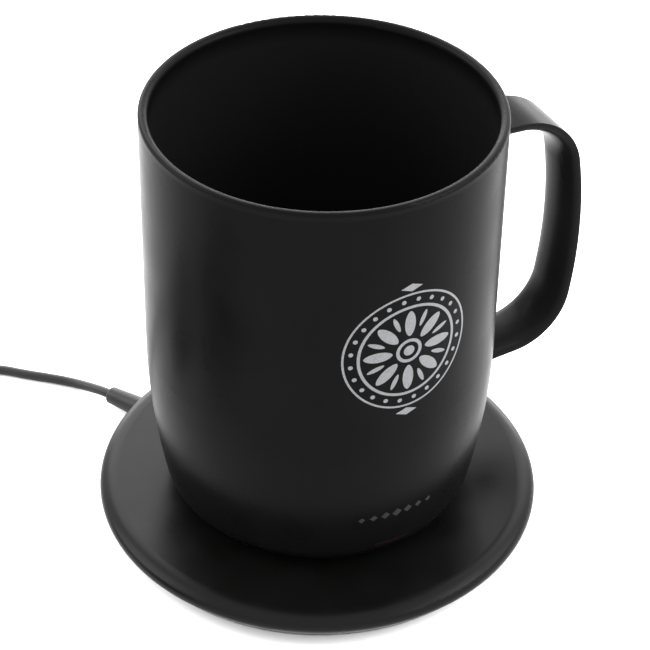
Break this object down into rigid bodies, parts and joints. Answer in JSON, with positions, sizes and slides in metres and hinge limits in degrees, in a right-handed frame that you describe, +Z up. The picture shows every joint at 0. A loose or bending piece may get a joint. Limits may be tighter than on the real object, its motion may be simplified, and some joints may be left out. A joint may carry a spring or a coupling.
{
  "type": "self heating mug",
  "caption": "Straight-sided black steel mug with a strap handle, drawn in at the foot, standing on a round charging coaster with a cord and wall adaptor.",
  "frame": {"origin": "on the mug's axis, on the underside of the coaster's rubber pad, which stands on the table", "axes": "+Z up along the mug, +X along the handle, the front with its light and its ornament faces -Y"},
  "size_m": [0.2072, 0.1373, 0.1114],
  "materials": {
    "coated_steel": "black satin coating on steel",
    "cover_plastic": "fine black satin plastic",
    "base_plastic": "black moulded plastic",
    "dark_rubber": "matt black rubber",
    "cord_jacket": "smooth black cord jacket",
    "steel": "plain steel",
    "contact_metal": "gold plated contact",
    "board_laminate": "green solder mask",
    "chip_plastic": "moulded black part",
    "light_plastic": "smoked red light guide",
    "led_plastic": "light source",
    "cell_sleeve": "shrink sleeve",
    "nickel": "nickel strip",
    "heater_laminate": "amber heater film",
    "insulation": "pale insulating board",
    "tray_plastic": "dark grey moulded plastic",
    "wire_jacket": "thin wire jacket",
    "capacitor_sleeve": "dark blue sleeve"
  },
  "bodies": {
    "coaster": {"coaster_cover": "cover_plastic", "coaster_base": "base_plastic", "coaster_pad": "dark_rubber", "coaster_screws": "steel", "contact_island": "base_plastic", "pin_barrels": "contact_metal", "pin_spring_centre": "steel", "pin_spring_ring": "steel", "coaster_board": "board_laminate", "coaster_board_parts": "chip_plastic", "coaster_leads": "wire_jacket", "strain_relief": "cord_jacket", "inner_cord": "cord_jacket", "cord_clamp": "tray_plastic", "clamp_screws": "steel", "cord_lead": "cord_jacket", "cord_coil": "cord_jacket", "cord_tail": "cord_jacket", "adaptor_case": "base_plastic", "adaptor_face": "base_plastic", "adaptor_prongs": "steel", "adaptor_relief": "cord_jacket", "adaptor_board": "board_laminate", "adaptor_transformer": "heater_laminate", "adaptor_capacitors": "capacitor_sleeve"},
    "mug": {"outer_shell": "coated_steel", "inner_liner": "coated_steel", "liner_studs": "steel", "handle": "coated_steel", "base_cap": "base_plastic", "base_gasket": "dark_rubber", "foot_ring": "dark_rubber", "base_screws": "steel", "contact_ring": "contact_metal", "contact_centre": "contact_metal", "button_switch": "chip_plastic", "control_board": "board_laminate", "board_components": "chip_plastic", "status_led": "led_plastic", "light_guide": "light_plastic", "battery_tray": "tray_plastic", "battery_cells": "cell_sleeve", "battery_links": "nickel", "heater_film": "heater_laminate", "heater_cable": "heater_laminate", "temperature_sensors": "chip_plastic", "insulation_disc": "insulation"},
    "power_button": {"power_button": "dark_rubber"},
    "contact_pin_centre": {"pin_plunger_centre": "contact_metal"},
    "contact_pin_ring": {"pin_plunger_ring": "contact_metal"}
  },
  "joints": [
    {"name": "mug_lift", "type": "slide", "parent": "coaster", "child": "mug", "axis": [0, 0, 1], "range_m": [0, 0.15]},
    {"name": "button_press", "type": "slide", "parent": "mug", "child": "power_button", "axis": [0, 0, 1], "range_m": [0, 0.0005], "stiffness_N_per_m": 2500, "springref_m": -0.0002},
    {"name": "centre_pin_press", "type": "slide", "parent": "coaster", "child": "contact_pin_centre", "axis": [0, 0, 1], "range_m": [-0.0006, 0], "stiffness_N_per_m": 200, "springref_m": 0.002, "deforming": ["pin_spring_centre"]},
    {"name": "ring_pin_press", "type": "slide", "parent": "coaster", "child": "contact_pin_ring", "axis": [0, 0, 1], "range_m": [-0.0006, 0], "stiffness_N_per_m": 200, "springref_m": 0.002, "deforming": ["pin_spring_ring"]}
  ]
}
